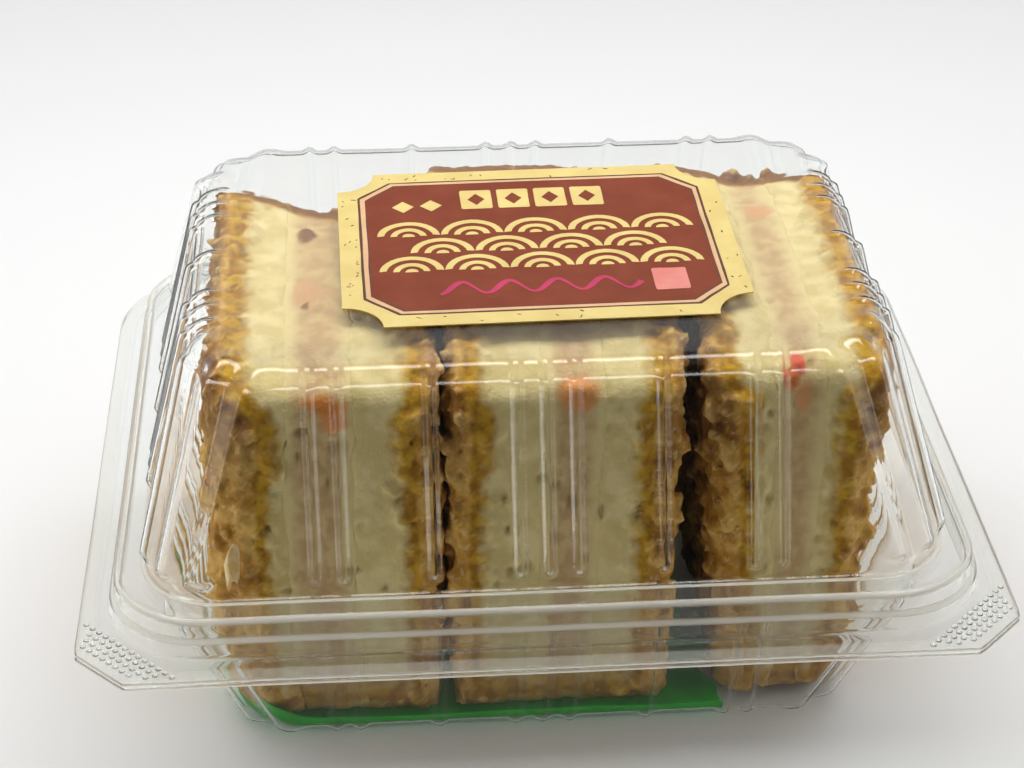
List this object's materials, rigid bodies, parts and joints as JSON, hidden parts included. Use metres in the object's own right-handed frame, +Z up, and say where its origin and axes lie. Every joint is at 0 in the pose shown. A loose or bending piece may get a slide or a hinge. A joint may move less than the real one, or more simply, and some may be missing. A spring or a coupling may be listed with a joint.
{
  "type": "shrimp toast pack",
  "caption": "Quarters of fried shrimp sandwich standing on edge in a shut clear hinged pack with a printed label and a green liner.",
  "frame": {"origin": "on the surface the pack stands on, under the middle of its box", "axes": "+X along the long side to the right, +Y to the back where the lid's hinge is, +Z up"},
  "size_m": [0.15, 0.1308, 0.0716],
  "materials": {
    "clear_plastic": "clear thermoformed plastic, glossy",
    "label_paper": "coated paper label, cream border round a red-brown panel",
    "green_film": "thin bright green film, satin",
    "bread": "white bread, pale cream at the cuts and golden brown where fried",
    "filling": "minced shrimp filling, beige-pink, moist"
  },
  "bodies": {
    "tray_body": {"tray": "clear_plastic", "hinge_fold": "clear_plastic", "liner": "green_film", "toast_left_bread_left": "bread", "toast_left_filling": "filling", "toast_left_bread_right": "bread", "toast_middle_bread_left": "bread", "toast_middle_filling": "filling", "toast_middle_bread_right": "bread", "toast_right_bread_left": "bread", "toast_right_filling": "filling", "toast_right_bread_right": "bread"},
    "lid_body": {"lid": "clear_plastic", "label": "label_paper"}
  },
  "joints": [
    {"name": "lid_hinge", "type": "hinge", "parent": "tray_body", "child": "lid_body", "pos_m": [0, 0.0649, 0.031], "axis": [-1, 0, 0], "range_deg": [0, 160]}
  ]
}
